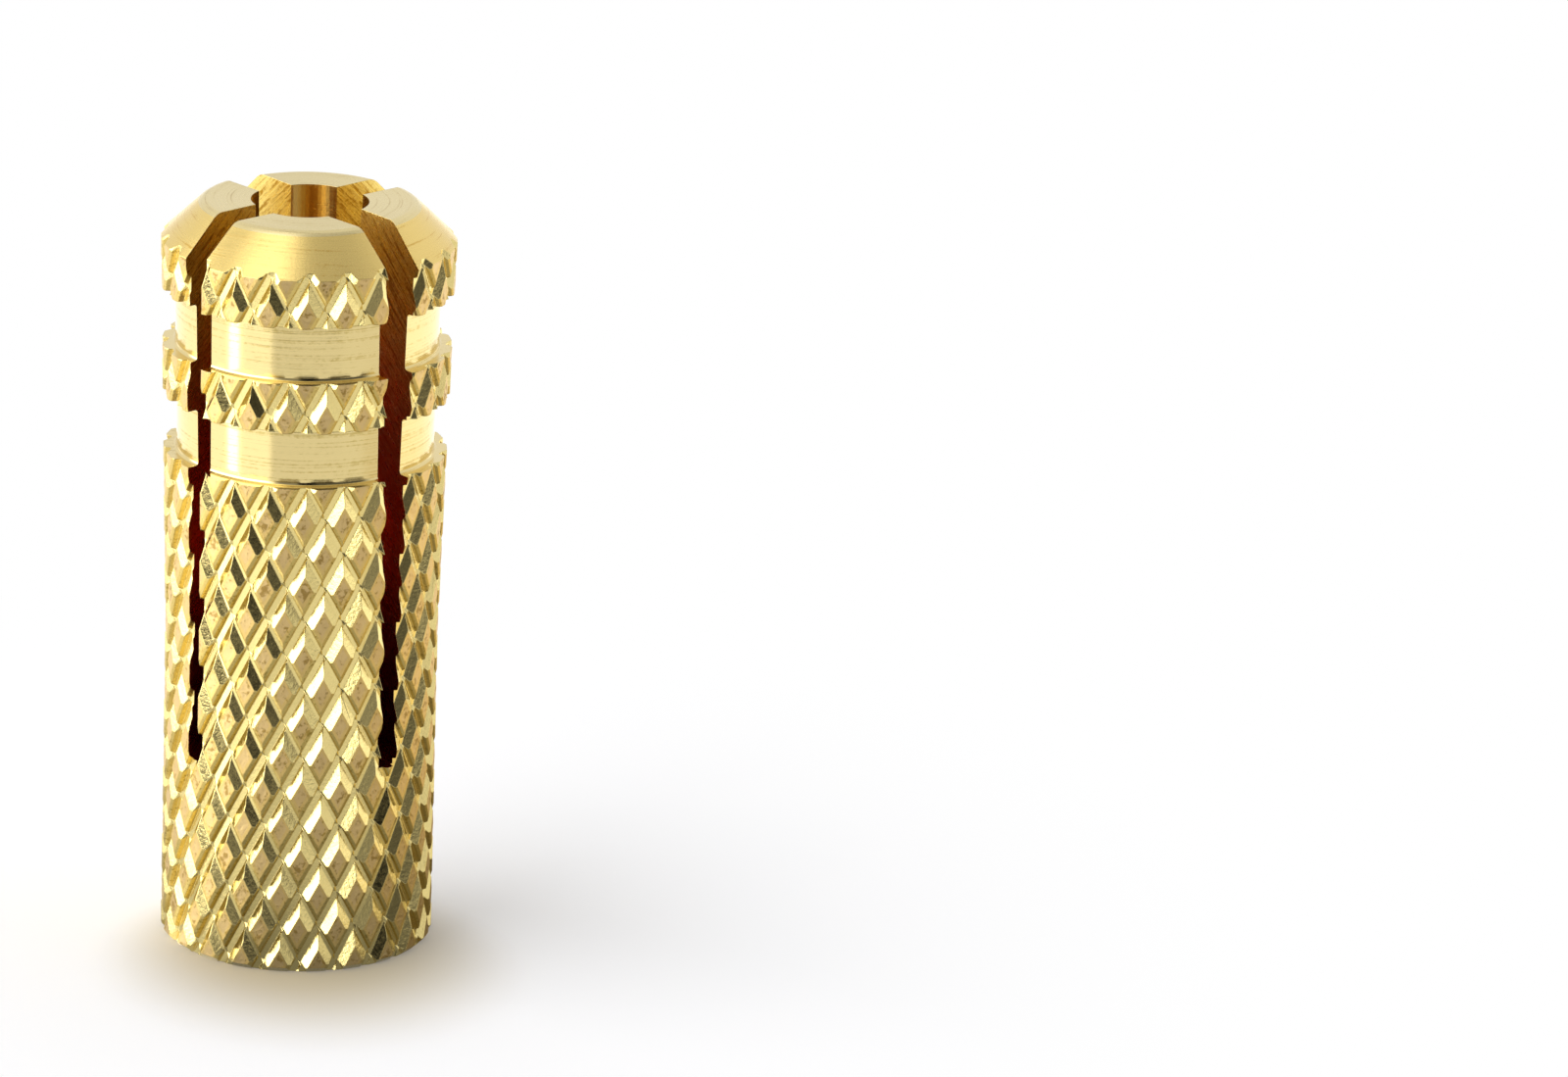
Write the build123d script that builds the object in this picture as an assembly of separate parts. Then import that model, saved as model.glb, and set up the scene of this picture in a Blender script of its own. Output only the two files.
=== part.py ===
from build123d import *
import os
from math import atan, ceil, cos, degrees, floor, pi, radians, tan

# Knurled brass expansion anchor, one turned, knurled and slotted piece.
# Origin at the centre of the mouth end; +Z runs along the bore to the slotted tip.

# Turned sleeve
overall_length = 22.0
knurl_diameter = 7.84
end_break = 0.15            # broken edge round the mouth end
chamfer_length = 1.13       # axial length of the tip chamfer
tip_flat_diameter = 5.46    # flat end left inside the chamfer, before the fingers are spread

# Diamond knurl: flat-topped teeth between two crossing families of helical grooves
knurl_starts = 22           # grooves of each hand round the sleeve
knurl_axial_pitch = 2.06    # repeat of the pattern along the axis
knurl_flank_angle = 48.0    # of a tooth's side from the radial direction
right_hand_crest_share = 0.54   # crest between two right-hand grooves as a share of their pitch
left_hand_crest_share = 0.66    # the left-hand grooves are a little narrower and shallower
knurl_row_height = 0.19     # height of the lowest whole row of teeth above the mouth end
knurl_turn = 6.0            # angle of the first tooth of that row from +X

# Smooth turned bands that part the knurl into a long body and two short rings
lower_band_start = 14.67
lower_band_width = 1.66
upper_band_start = 17.89
upper_band_width = 1.56
band_depth = 0.38

# Bore: thread for an M6 screw, then a cone down to the narrow bore that spreads the fingers
thread_core_diameter = 5.0
thread_length = 13.0
mouth_countersink = 0.4
cone_angle = 30.0           # of the cone's wall from the axis
tip_bore_diameter = 2.6     # before the fingers are spread

# Two crossed saw cuts that part the upper end into four fingers
narrow_slot_width = 0.44
wide_slot_width = 0.62
slot_start = 6.23
narrow_slot_turn = 45.0     # angle of the narrow cut from +X

# The fingers stand slightly open
splay_start = 9.25
splay_angle = 1.35

# Modelling allowances
core_cover = 0.03           # how far the core lies under the bottom of the deepest groove
tooth_embed = 0.12          # how far a tooth reaches into the core under it
tool_margin = 1.0           # how far a cutting tool stands clear of the metal

knurl_radius = knurl_diameter / 2
band_radius = knurl_radius - band_depth
thread_core_radius = thread_core_diameter / 2
tip_bore_radius = tip_bore_diameter / 2
tip_flat_radius = tip_flat_diameter / 2
chamfer_depth = knurl_radius - tip_flat_radius
knurl_width_pitch = 2 * pi * knurl_radius / knurl_starts
knurl_helix_angle = degrees(atan(knurl_width_pitch / knurl_axial_pitch))
half_groove_pitch = knurl_width_pitch / 2 * cos(radians(knurl_helix_angle))
deepest_groove = (1 - right_hand_crest_share) * half_groove_pitch / tan(radians(knurl_flank_angle))
core_radius = knurl_radius - deepest_groove - core_cover
tooth_height = deepest_groove + core_cover + tooth_embed
knurl_overhang = 2 * knurl_axial_pitch


def splay(height):
    """Distance that the fingers stand outward at a height."""
    return max(0.0, height - splay_start) * tan(radians(splay_angle))


def turned(*points):
    """Solid turned from an outline of (radius, height) points."""
    outline = Polyline(*[(radius, 0, height) for radius, height in points], close=True)
    return revolve(make_face(outline), Axis.Z)


def knurl_ridge(helix_angle, crest_share):
    """Straight ridge between two V grooves of one hand, along Z, with its crest at the YZ plane."""
    crest_half = crest_share * half_groove_pitch
    base_half = crest_half + tooth_height * tan(radians(knurl_flank_angle))
    section = Polyline(
        (-tooth_height, -base_half),
        (0, -crest_half),
        (0, crest_half),
        (-tooth_height, base_half),
        close=True,
    )
    return Rot(X=helix_angle) * extrude(make_face(section), knurl_axial_pitch, both=True)


def knurl_tooth():
    """One flat-topped tooth pointing along +X: what two crossing ridges have in common."""
    right_hand = knurl_ridge(-knurl_helix_angle, right_hand_crest_share)
    return right_hand & knurl_ridge(knurl_helix_angle, left_hand_crest_share)


def knurl_row(tooth, row):
    """A ring of teeth; each row is turned by half a pitch from the row below."""
    height = knurl_row_height + row * knurl_axial_pitch / 2
    lean = splay_angle if height > splay_start else 0.0
    turn = knurl_turn + (row % 2) * 180 / knurl_starts
    ring = PolarLocations(knurl_radius + splay(height), knurl_starts, turn)
    return list(ring * (Pos(Z=height) * Rot(Y=lean) * tooth))


def knurled_blank():
    """Bar with the knurl rolled over its whole length, opened by the splay."""
    core = turned(
        (0, 0),
        (core_radius, 0),
        (core_radius, splay_start),
        (core_radius + splay(overall_length), overall_length),
        (0, overall_length),
    )
    tooth = knurl_tooth()
    row_step = knurl_axial_pitch / 2
    knurl_end = overall_length - chamfer_length * (core_radius - tip_flat_radius) / chamfer_depth
    first = ceil(-knurl_row_height / row_step) - 1
    last = floor((knurl_end - knurl_row_height) / row_step) + 1
    teeth = []
    for row in range(first, last + 1):
        teeth += knurl_row(tooth, row)
    return core.fuse(*teeth)


def band_cut(start, width):
    """Ring of metal turned away to leave a smooth band that follows the splay."""
    end = start + width
    clear = knurl_radius + splay(end) + tool_margin
    return turned(
        (band_radius + splay(start), start),
        (clear, start),
        (clear, end),
        (band_radius + splay(end), end),
    )


def tip_cut():
    """Metal turned away outside the tip chamfer and beyond the flat end."""
    opening = splay(overall_length)
    outward = chamfer_depth + tool_margin
    clear = tip_flat_radius + opening + outward
    top = overall_length + knurl_overhang
    return turned(
        (0, overall_length),
        (tip_flat_radius + opening, overall_length),
        (clear, overall_length - outward * chamfer_length / chamfer_depth),
        (clear, top),
        (0, top),
    )


def mouth_cut():
    """Metal faced off below the mouth end, with its edge broken."""
    clear = knurl_radius + tool_margin
    return turned(
        (0, 0),
        (knurl_radius - end_break, 0),
        (clear, end_break + tool_margin),
        (clear, -knurl_overhang),
        (0, -knurl_overhang),
    )


def bore_cut():
    """Countersunk thread core, cone and narrow tip bore."""
    cone_length = (thread_core_radius - tip_bore_radius) / tan(radians(cone_angle))
    cone_end = thread_length + cone_length
    top = overall_length + tool_margin
    return turned(
        (0, -tool_margin),
        (thread_core_radius + mouth_countersink + tool_margin, -tool_margin),
        (thread_core_radius, mouth_countersink),
        (thread_core_radius, thread_length),
        (tip_bore_radius + splay(cone_end), cone_end),
        (tip_bore_radius + splay(top), top),
        (0, top),
    )


def slot_cut(width, turn):
    """Saw cut through both walls, widened towards the tip by the splay of the fingers."""
    half = width / 2
    top = overall_length + tool_margin
    open_half = half + splay(top) / 2**0.5
    reach = knurl_radius + splay(top) + tool_margin
    outline = Polyline(
        (-half, slot_start),
        (half, slot_start),
        (half, splay_start),
        (open_half, top),
        (-open_half, top),
        (-half, splay_start),
        close=True,
    )
    return Rot(Z=turn) * extrude(Plane.XZ * make_face(outline), reach, both=True)


def anchor_sleeve():
    """The finished anchor."""
    return knurled_blank().cut(
        band_cut(lower_band_start, lower_band_width),
        band_cut(upper_band_start, upper_band_width),
        tip_cut(),
        mouth_cut(),
        bore_cut(),
        slot_cut(narrow_slot_width, narrow_slot_turn),
        slot_cut(wide_slot_width, narrow_slot_turn + 90),
    )


os.makedirs("parts", exist_ok=True)
export_step(anchor_sleeve(), "parts/anchor_sleeve.step")
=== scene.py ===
"""A knurled and slotted brass expansion anchor standing on a white studio floor.

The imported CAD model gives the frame, and one detailed mesh stands for its single node. The mesh is made
as the real sleeve is: a bar is knurled, turned, bored, tapped and sawn, and then its fingers are spread.
The sleeve is worked in millimetres and scaled to metres as its last step. It stands on its mouth end,
its bore runs along +Z, and its front faces -Y.
"""

import logging
import math
from dataclasses import dataclass
from enum import Enum

import bmesh
import bpy
from mathutils import Matrix, Vector

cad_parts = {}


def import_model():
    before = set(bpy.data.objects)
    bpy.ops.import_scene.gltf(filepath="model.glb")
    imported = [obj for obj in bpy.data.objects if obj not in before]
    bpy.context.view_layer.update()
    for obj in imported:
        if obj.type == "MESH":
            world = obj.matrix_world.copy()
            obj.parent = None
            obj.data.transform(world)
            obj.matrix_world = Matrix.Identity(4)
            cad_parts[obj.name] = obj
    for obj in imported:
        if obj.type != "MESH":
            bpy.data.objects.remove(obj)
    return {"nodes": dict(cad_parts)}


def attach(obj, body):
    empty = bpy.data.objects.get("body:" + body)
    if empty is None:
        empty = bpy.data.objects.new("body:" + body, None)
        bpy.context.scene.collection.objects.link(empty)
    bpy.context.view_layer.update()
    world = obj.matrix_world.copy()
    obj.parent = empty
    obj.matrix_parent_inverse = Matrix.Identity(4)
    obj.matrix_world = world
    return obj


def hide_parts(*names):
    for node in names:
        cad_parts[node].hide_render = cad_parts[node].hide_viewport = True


logging.basicConfig(level=logging.INFO, format="%(message)s")
LOG = logging.getLogger("anchor")

Span = tuple[float, float]
Colour = tuple[float, float, float]
Socket = bpy.types.NodeSocket
Value = Socket | float

MM = 0.001
NODE = "anchor_sleeve"
PIECE = "expansion_sleeve"

# Points nearer to each other than this, in millimetres, are one
PART_MERGE = 1e-4  # within one ring of teeth or one turned shape
ROW_MERGE = 1e-3  # between two rows of teeth
CUT_MERGE = 2e-4  # where the tools have cut
PLANE_SNAP = 1e-5  # a point this near to a cutting plane is on it

BEVEL_SAMPLES = 4
QUARTER_TURN = 0.25
WHITE = (1.0, 1.0, 1.0)


class Finish(Enum):
    """The finishes on the sleeve, in the order of its material slots."""

    FLANK = 0  # the floors of the grooves, and a tooth's upper sides
    # Painted shade: this finish is a darker, duller copy of the flanks, for the sides that face down
    LOWER = 1  # a tooth's lower sides, which face the floor
    CREST = 2  # the rim of a tooth's top
    SKIN = 3  # the dished middle of a tooth's top
    TURNED = 4  # the smooth bands
    CHAMFER = 5  # the cone round the tip
    FACED = 6  # the flat ends, their broken edges and the countersink
    BORED = 7  # the bore and its thread
    SAWN = 8  # the walls of the saw cuts


class Hand(Enum):
    """The two hands of the knurl's grooves, by the side that the way across them leans to."""

    RIGHT = -1
    LEFT = 1


class Cut(Enum):
    """What a tool does to the bar, by the name of the Boolean operation."""

    KEEP_INSIDE = "INTERSECT"
    TAKE_AWAY = "DIFFERENCE"


# ---------------------------------------------------------------- sizes


@dataclass(frozen=True)
class SawCut:
    """One saw cut across the sleeve.

    Args:
        turn: Angle of its rear end from +X.
        start: Height of its closed end.
        front_width: Width at its front end.
        rear_width: Width at its rear end.
        front_drift: How far its front end lies off the line through the axis.
    """

    turn: float
    start: float
    front_width: float
    rear_width: float
    front_drift: float


@dataclass(frozen=True)
class SleeveSizes:
    """Driving sizes of the sleeve in millimetres and degrees, before its fingers are spread.

    Args:
        length: From the mouth end to the tip.
        knurl_radius: Over the knurl.
        end_break: Size of the broken edge round the mouth end.
        chamfer_length: Axial length of the tip's chamfer.
        tip_flat_radius: Of the flat end inside the chamfer.
        tip_rounding: How far the rounding between chamfer and flat end reaches either way.
        tip_rounding_middle: How far its middle lies outside tip_flat_radius, and below the tip.
        band_depth: How far the bands lie under the knurl.
        bands: Heights of each band's two ends.
        fillet: Reach of the rounding in the bands' corners.
        fillet_middle: How far its middle stands off both sides of the corner.
        core_radius: Of the bore before it is tapped.
        countersink: Depth of the bore's countersink, and how much wider it is than the bore.
        thread_length: Height up to which the bore is straight and tapped.
        thread_pitch: Rise of the thread in one turn.
        thread_radius: Out to the bottom of the thread's groove.
        thread_flank: Angle of the thread's flanks from straight across the bore.
        thread_flat: Half the width of the flat at the bottom of its groove.
        cone_angle: Of the cone's wall from the axis.
        tip_bore_radius: Of the narrow bore above the cone.
        saw_cuts: The two crossed cuts that part the upper end into four fingers.
        splay_start: Height from which the fingers bend.
        finger_moves: Each finger's angle from +X, and how far its tip moves outward and
            counter-clockwise.
    """

    length: float = 22.0
    knurl_radius: float = 3.92
    end_break: float = 0.15
    chamfer_length: float = 1.13
    tip_flat_radius: float = 2.73
    tip_rounding: float = 0.12
    tip_rounding_middle: Span = (0.01, 0.04)
    band_depth: float = 0.38
    bands: tuple[Span, ...] = ((14.67, 16.33), (17.79, 19.45))
    fillet: float = 0.08
    fillet_middle: float = 0.025
    core_radius: float = 2.5
    countersink: float = 0.4
    thread_length: float = 13.0
    thread_pitch: float = 1.0
    thread_radius: float = 3.02
    thread_flank: float = 30.0
    thread_flat: float = 0.06
    cone_angle: float = 30.0
    tip_bore_radius: float = 1.36
    saw_cuts: tuple[SawCut, ...] = (
        SawCut(turn=45.0, start=5.85, front_width=0.38, rear_width=0.74, front_drift=0.145),
        SawCut(turn=135.0, start=5.98, front_width=0.53, rear_width=0.92, front_drift=-0.04),
    )
    splay_start: float = 9.25
    finger_moves: tuple[tuple[float, float, float], ...] = (
        (-90, 0.39, -0.07),
        (0, 0.34, -0.05),
        (90, 0.15, 0.0),
        (180, 0.31, 0.0),
    )


@dataclass(frozen=True)
class Step:
    """One outline of a tooth, by how far its four sides lie from the tooth's middle.

    Args:
        upper_left: Distance of its upper left side, which runs along a right-hand groove.
        lower_right: Distance of its lower right side, along the next right-hand groove.
        lower_left: Distance of its lower left side, along a left-hand groove.
        upper_right: Distance of its upper right side, along the next left-hand groove.
        height: How far it stands outside the radius over the knurl.
    """

    upper_left: float
    lower_right: float
    lower_left: float
    upper_right: float
    height: float


@dataclass(frozen=True)
class KnurlSizes:
    """The diamond knurl: its lattice, and the section of one tooth.

    Args:
        starts: Grooves of each hand round the bar.
        axial_pitch: Repeat of the pattern along the axis.
        row_height: Height of the middle of one row of teeth.
        turn: Angle of that row's first tooth from +X.
        groove_depth: How far the grooves' floors lie under the top of the knurl.
        steps: Outlines of a tooth, from the edge of the grooves' floors to its dished middle.
        left_hand_rise: How much higher the floor of a left-hand groove is.
    """

    starts: int = 22
    axial_pitch: float = 2.06
    row_height: float = 0.338
    turn: float = 5.445
    groove_depth: float = 0.19
    steps: tuple[Step, ...] = (
        Step(0.397, 0.4, 0.44, 0.44, -0.19),
        Step(0.217, 0.36, 0.41, 0.26, -0.04),
        Step(0.17, 0.26, 0.34, 0.18, 0.0),
        Step(0.1, 0.17, 0.26, 0.11, -0.006),
    )
    left_hand_rise: float = 0.06


# ---------------------------------------------------------------- mesh helpers


def lathe(outline: list[tuple[float, float, Finish]], facets: int) -> bmesh.types.BMesh:
    """Turn an outline round the Z axis.

    Args:
        outline: (radius, height, finish of the run that starts there), from the axis to the axis.
        facets: Facets round the axis.

    Returns:
        A closed mesh with each run's finish as its material index.
    """
    bm = bmesh.new()
    verts = [bm.verts.new((radius, 0, height)) for radius, height, _ in outline]
    edges = [bm.edges.new(pair) for pair in zip(verts, verts[1:])]
    bmesh.ops.spin(
        bm,
        geom=verts + edges,
        cent=(0, 0, 0),
        axis=(0, 0, 1),
        angle=math.tau,
        steps=facets,
        use_merge=True,
    )
    bmesh.ops.remove_doubles(bm, verts=bm.verts[:], dist=PART_MERGE)
    bmesh.ops.recalc_face_normals(bm, faces=bm.faces[:])
    runs = [(Vector(a[:2]), Vector(b[:2]), a[2]) for a, b in zip(outline, outline[1:])]
    for face in bm.faces:
        middle = face.calc_center_median()
        spot = Vector((math.hypot(middle.x, middle.y), middle.z))
        nearest = min(runs, key=lambda run: distance_to_run(spot, run[0], run[1]))
        face.material_index = nearest[2].value
    return bm


def distance_to_run(spot: Vector, a: Vector, b: Vector) -> float:
    """Distance from a point to a straight run of an outline.

    Args:
        spot: The point, as (radius, height).
        a: One end of the run.
        b: Its other end.

    Returns:
        The distance to the nearest point of the run.
    """
    along = b - a
    share = max(0.0, min(1.0, (spot - a).dot(along) / along.length_squared))
    return (spot - a - along * share).length


def to_object(bm: bmesh.types.BMesh, name: str) -> bpy.types.Object:
    """Put a mesh into a new object, linked to the scene, and free it.

    Args:
        bm: The mesh, with finishes as its material indices.
        name: The new object's name.

    Returns:
        The object, with the finishes in its material slots.
    """
    mesh = bpy.data.meshes.new(name)
    bm.to_mesh(mesh)
    bm.free()
    for finish in Finish:
        mesh.materials.append(bpy.data.materials.get(finish.name.lower()))
    obj = bpy.data.objects.new(name, mesh)
    bpy.context.scene.collection.objects.link(obj)
    return obj


def paint(bm: bmesh.types.BMesh, finish: Finish) -> None:
    """Give every face of a mesh one finish."""
    for face in bm.faces:
        face.material_index = finish.value


# ---------------------------------------------------------------- the sleeve's parts


@dataclass
class KnurledBar:
    """The bar with the knurl rolled over its whole length.

    Args:
        sleeve: The sleeve's sizes.
        knurl: The knurl's sizes.
        spare_rows: Rows of teeth past each end of the sleeve, which the lathe faces off.
        inset: Width of a new outline before its points are put in their places.
        level: How nearly straight out the normal of a level face points, one being straight out.
        top_height: Height above which a level face belongs to a tooth's top.
        rise_margin: How far the raised floors stay inside the edges of the right-hand grooves.
        slack: How far off a line a point may lie and still count as on it.
    """

    sleeve: SleeveSizes
    knurl: KnurlSizes
    spare_rows: int = 2
    inset: float = 0.05
    level: float = 0.95
    top_height: float = -0.03
    rise_margin: float = 0.05
    slack: float = 1e-3

    @property
    def width_pitch(self) -> float:
        """Width of one diamond, round the bar."""
        return math.tau * self.sleeve.knurl_radius / self.knurl.starts

    @property
    def groove_angle(self) -> float:
        """Angle of the grooves from the axis."""
        return math.atan2(self.width_pitch, self.knurl.axial_pitch)

    def across(self, hand: Hand) -> Vector:
        """Direction across the grooves of one hand, in the flat pattern."""
        return Vector((math.cos(self.groove_angle), hand.value * math.sin(self.groove_angle), 0))

    def tooth(self) -> bmesh.types.BMesh:
        """Raise one tooth on a flat diamond, with its grooves along the diamond's edges.

        Returns:
            The diamond, flat and centred, with +X round the bar, +Y along it and +Z outward.
        """
        bm = bmesh.new()
        bmesh.ops.create_circle(bm, cap_ends=True, segments=4, radius=0.5)
        bmesh.ops.scale(bm, vec=(self.width_pitch, self.knurl.axial_pitch, 1), verts=bm.verts[:])
        bmesh.ops.translate(bm, vec=(0, 0, -self.knurl.groove_depth), verts=bm.verts[:])
        top = bm.faces[:]
        right, left = self.across(Hand.RIGHT), self.across(Hand.LEFT)
        for step in self.knurl.steps:
            bmesh.ops.inset_region(
                bm, faces=top, thickness=self.inset, use_even_offset=True, use_boundary=True
            )
            for vert in top[0].verts:
                u = -step.upper_left if vert.co.dot(right) < 0 else step.lower_right
                v = -step.lower_left if vert.co.dot(left) < 0 else step.upper_right
                vert.co = ((u + v) / (2 * right.x), (v - u) / (2 * left.y), step.height)
        bmesh.ops.recalc_face_normals(bm, faces=bm.faces[:])
        for face in bm.faces:
            face.material_index = self.finish(face).value
        top[0].material_index = Finish.SKIN.value
        self.raise_left_hand_floors(bm)
        return bm

    def finish(self, face: bmesh.types.BMFace) -> Finish:
        """Choose the finish of one face round a tooth.

        Args:
            face: A face of the flat diamond.

        Returns:
            The rim's finish on top, and otherwise that of an upper side, or the painted shade of a lower
            side.
        """
        middle = face.calc_center_median()
        if abs(face.normal.z) > self.level:
            return Finish.CREST if middle.z > self.top_height else Finish.FLANK
        # Painted shade: a side that faces down gets the darker copy of the flank's brass
        return Finish.LOWER if middle.y < 0 else Finish.FLANK

    def raise_left_hand_floors(self, bm: bmesh.types.BMesh) -> None:
        """Raise the floors of the left-hand grooves between the right-hand ones.

        Args:
            bm: The flat diamond with its tooth, which is cut where the raised floors end.
        """
        right, left = self.across(Hand.RIGHT), self.across(Hand.LEFT)
        base = self.knurl.steps[0]
        reach = base.lower_right - self.rise_margin
        for side in (-1, 1):
            bmesh.ops.bisect_plane(
                bm,
                geom=bm.verts[:] + bm.edges[:] + bm.faces[:],
                plane_co=right * side * reach,
                plane_no=right,
                dist=PLANE_SNAP,
            )
        for vert in bm.verts:
            flat = Vector((vert.co.x, vert.co.y, 0))
            off = flat.dot(left)
            in_groove = off > base.upper_right - self.slack or off < self.slack - base.lower_left
            if in_groove and abs(flat.dot(right)) < reach + self.slack:
                vert.co.z += self.knurl.left_hand_rise

    def ring(self) -> bpy.types.Mesh:
        """Bend the tooth round the bar and repeat it to a full ring.

        Returns:
            One row of teeth, with its middle at height nought and its first tooth at +X.
        """
        bm = self.tooth()
        radius = self.sleeve.knurl_radius
        for vert in bm.verts:
            angle = vert.co.x / radius
            out = radius + vert.co.z
            vert.co = (out * math.cos(angle), out * math.sin(angle), vert.co.y)
        copies = self.knurl.starts - 1
        bmesh.ops.spin(
            bm,
            geom=bm.verts[:] + bm.edges[:] + bm.faces[:],
            cent=(0, 0, 0),
            axis=(0, 0, 1),
            angle=math.tau * copies / self.knurl.starts,
            steps=copies,
            use_duplicate=True,
        )
        bmesh.ops.remove_doubles(bm, verts=bm.verts[:], dist=PART_MERGE)
        mesh = bpy.data.meshes.new("ring")
        bm.to_mesh(mesh)
        bm.free()
        return mesh

    def build(self) -> bpy.types.Object:
        """Stack the rows of teeth, each turned by half a pitch from the row below.

        Returns:
            The bar as a closed object: its skin of teeth, and a cap at each end.
        """
        ring = self.ring()
        step = self.knurl.axial_pitch / 2
        half_turn = math.pi / self.knurl.starts
        bar = bmesh.new()
        for row in range(-self.spare_rows, math.ceil(self.sleeve.length / step) + self.spare_rows):
            before = len(bar.verts)
            bar.from_mesh(ring)
            angle = math.radians(self.knurl.turn) + (row % 2) * half_turn
            up = Matrix.Translation((0, 0, self.knurl.row_height + row * step))
            place = up @ Matrix.Rotation(angle, 4, "Z")
            bmesh.ops.transform(bar, matrix=place, verts=bar.verts[before:])
        bpy.data.meshes.remove(ring)
        bmesh.ops.remove_doubles(bar, verts=bar.verts[:], dist=ROW_MERGE)
        bmesh.ops.holes_fill(bar, edges=[edge for edge in bar.edges if edge.is_boundary])
        bmesh.ops.recalc_face_normals(bar, faces=bar.faces[:])
        return to_object(bar, "bar")


@dataclass
class Tooling:
    """The solids that the bar is turned, bored, tapped and sawn with.

    Args:
        sizes: The sleeve's sizes.
        facets: Facets round the outside of the sleeve.
        bore_facets: Facets round its bore.
        thread_facets: Facets in one turn of its thread.
        overrun: How far the turned outline stands outside the knurl.
        margin: How far a cutting tool stands clear of the metal.
        bite: How far inside the wall of the bore the tap's tooth starts.
        lead: How far below the mouth end the tap starts.
    """

    sizes: SleeveSizes
    facets: int = 176
    bore_facets: int = 72
    thread_facets: int = 48
    overrun: float = 0.1
    margin: float = 1.0
    bite: float = 0.12
    lead: float = 0.5

    def band(self, low: float, high: float) -> list[tuple[float, float, Finish]]:
        """Outline of one smooth band with rounded corners.

        Args:
            low: Height of its lower end.
            high: Height of its upper end.

        Returns:
            The outline's points, upwards, as lathe takes them.
        """
        s = self.sizes
        clear = s.knurl_radius + self.overrun
        floor = s.knurl_radius - s.band_depth
        points = [
            (clear, low),
            (floor + s.fillet, low),
            (floor + s.fillet_middle, low + s.fillet_middle),
            (floor, low + s.fillet),
            (floor, high - s.fillet),
            (floor + s.fillet_middle, high - s.fillet_middle),
            (floor + s.fillet, high),
            (clear, high),
        ]
        return [(radius, height, Finish.TURNED) for radius, height in points]

    def envelope(self) -> bpy.types.Object:
        """Build what the lathe leaves of the bar: faced ends, bands and chamfer.

        Returns:
            A closed solid, outside of which the bar is turned away.
        """
        s = self.sizes
        clear = s.knurl_radius + self.overrun
        slope = s.chamfer_length / (s.knurl_radius - s.tip_flat_radius)
        beyond, below = s.tip_rounding_middle
        outline = [
            (0.0, 0.0, Finish.FACED),
            (s.knurl_radius - s.end_break, 0.0, Finish.FACED),
            (clear, s.end_break + self.overrun, Finish.TURNED),
        ]
        for low, high in s.bands:
            outline += self.band(low, high)
        outline += [
            (clear, s.length - (clear - s.tip_flat_radius) * slope, Finish.CHAMFER),
            (s.tip_flat_radius + s.tip_rounding, s.length - s.tip_rounding * slope, Finish.FACED),
            (s.tip_flat_radius + beyond, s.length - below, Finish.FACED),
            (s.tip_flat_radius - s.tip_rounding, s.length, Finish.FACED),
            (0.0, s.length, Finish.FACED),
        ]
        return to_object(lathe(outline, self.facets), "envelope")

    def drill(self) -> bpy.types.Object:
        """Build the drill: countersink, thread core, cone and tip bore.

        Returns:
            A closed solid that reaches past both ends of the sleeve.
        """
        s = self.sizes
        cone = (s.core_radius - s.tip_bore_radius) / math.tan(math.radians(s.cone_angle))
        mouth = -self.margin
        top = s.length + self.margin
        outline = [
            (0.0, mouth, Finish.BORED),
            (s.core_radius + s.countersink + self.margin, mouth, Finish.FACED),
            (s.core_radius, s.countersink, Finish.BORED),
            (s.core_radius, s.thread_length, Finish.BORED),
            (s.tip_bore_radius, s.thread_length + cone, Finish.BORED),
            (s.tip_bore_radius, top, Finish.BORED),
            (0.0, top, Finish.BORED),
        ]
        return to_object(lathe(outline, self.bore_facets), "drill")

    def tap(self) -> bpy.types.Object:
        """Wind one V groove up the bore as the thread.

        Returns:
            A closed coil with the groove's section.
        """
        s = self.sizes
        root = s.core_radius - self.bite
        flat = s.thread_flat
        half = (s.thread_radius - root) * math.tan(math.radians(s.thread_flank)) + flat
        section = [(root, -half), (s.thread_radius, -flat), (s.thread_radius, flat), (root, half)]
        bm = bmesh.new()
        face = bm.faces.new([bm.verts.new((radius, 0, rise - self.lead)) for radius, rise in section])
        steps = round((s.thread_length + self.lead) / s.thread_pitch * self.thread_facets)
        bmesh.ops.spin(
            bm,
            geom=[face],
            cent=(0, 0, 0),
            axis=(0, 0, 1),
            dvec=(0, 0, s.thread_pitch / self.thread_facets),
            angle=math.tau * steps / self.thread_facets,
            steps=steps,
        )
        bmesh.ops.recalc_face_normals(bm, faces=bm.faces[:])
        paint(bm, Finish.BORED)
        return to_object(bm, "tap")

    def saw(self, cut: SawCut) -> bpy.types.Object:
        """Build the blade of one saw cut, which runs through both walls.

        Args:
            cut: The cut's sizes.

        Returns:
            A closed block with the cut's taper and drift.
        """
        s = self.sizes
        bm = bmesh.new()
        bmesh.ops.create_cube(bm, size=1.0)
        front = [vert for vert in bm.verts if vert.co.x < 0]
        rear = [vert for vert in bm.verts if vert.co.x > 0]
        long = 2 * (s.knurl_radius + self.margin)
        tall = s.length + self.margin - cut.start
        bmesh.ops.scale(bm, vec=(long, 1, tall), verts=bm.verts[:])
        bmesh.ops.scale(bm, vec=(1, cut.front_width, 1), verts=front)
        bmesh.ops.scale(bm, vec=(1, cut.rear_width, 1), verts=rear)
        bmesh.ops.translate(bm, vec=(0, cut.front_drift, 0), verts=front)
        bmesh.ops.translate(bm, vec=(0, 0, cut.start + tall / 2), verts=bm.verts[:])
        turned = Matrix.Rotation(math.radians(cut.turn), 3, "Z")
        bmesh.ops.rotate(bm, cent=(0, 0, 0), matrix=turned, verts=bm.verts[:])
        paint(bm, Finish.SAWN)
        return to_object(bm, "saw")


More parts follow.
